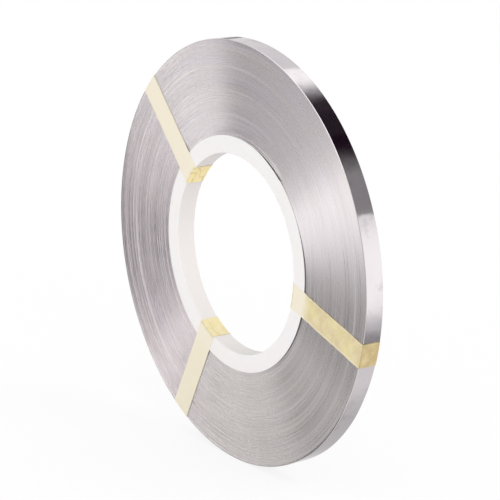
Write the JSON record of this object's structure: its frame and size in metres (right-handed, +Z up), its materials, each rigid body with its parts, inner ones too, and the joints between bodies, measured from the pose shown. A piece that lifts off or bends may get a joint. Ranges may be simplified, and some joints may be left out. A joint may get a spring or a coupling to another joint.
{
  "type": "coil of nickel alloy strip",
  "caption": "Ring-shaped coil of narrow bright metal strip standing on its rim, wound on a plain white plastic core and held shut by bands of masking tape.",
  "frame": {"origin": "on the floor, under the middle of the coil, where its rim touches", "axes": "+Z up; the coil's axis runs along Y, and -Y is its front end, which the picture shows; +X is to the right of the front end"},
  "size_m": [0.212, 0.0104, 0.212],
  "materials": {
    "nickel_alloy": "bright rolled strip: satin slit edges on the ends, mirror-bright outer turn",
    "core_plastic": "plain off-white plastic, slightly translucent",
    "masking_tape": "matt cream creped paper tape"
  },
  "bodies": {
    "root": {"core": "core_plastic", "strip_winding": "nickel_alloy", "tape_band_1": "masking_tape", "tape_band_2": "masking_tape", "tape_band_3": "masking_tape"}
  },
  "joints": []
}
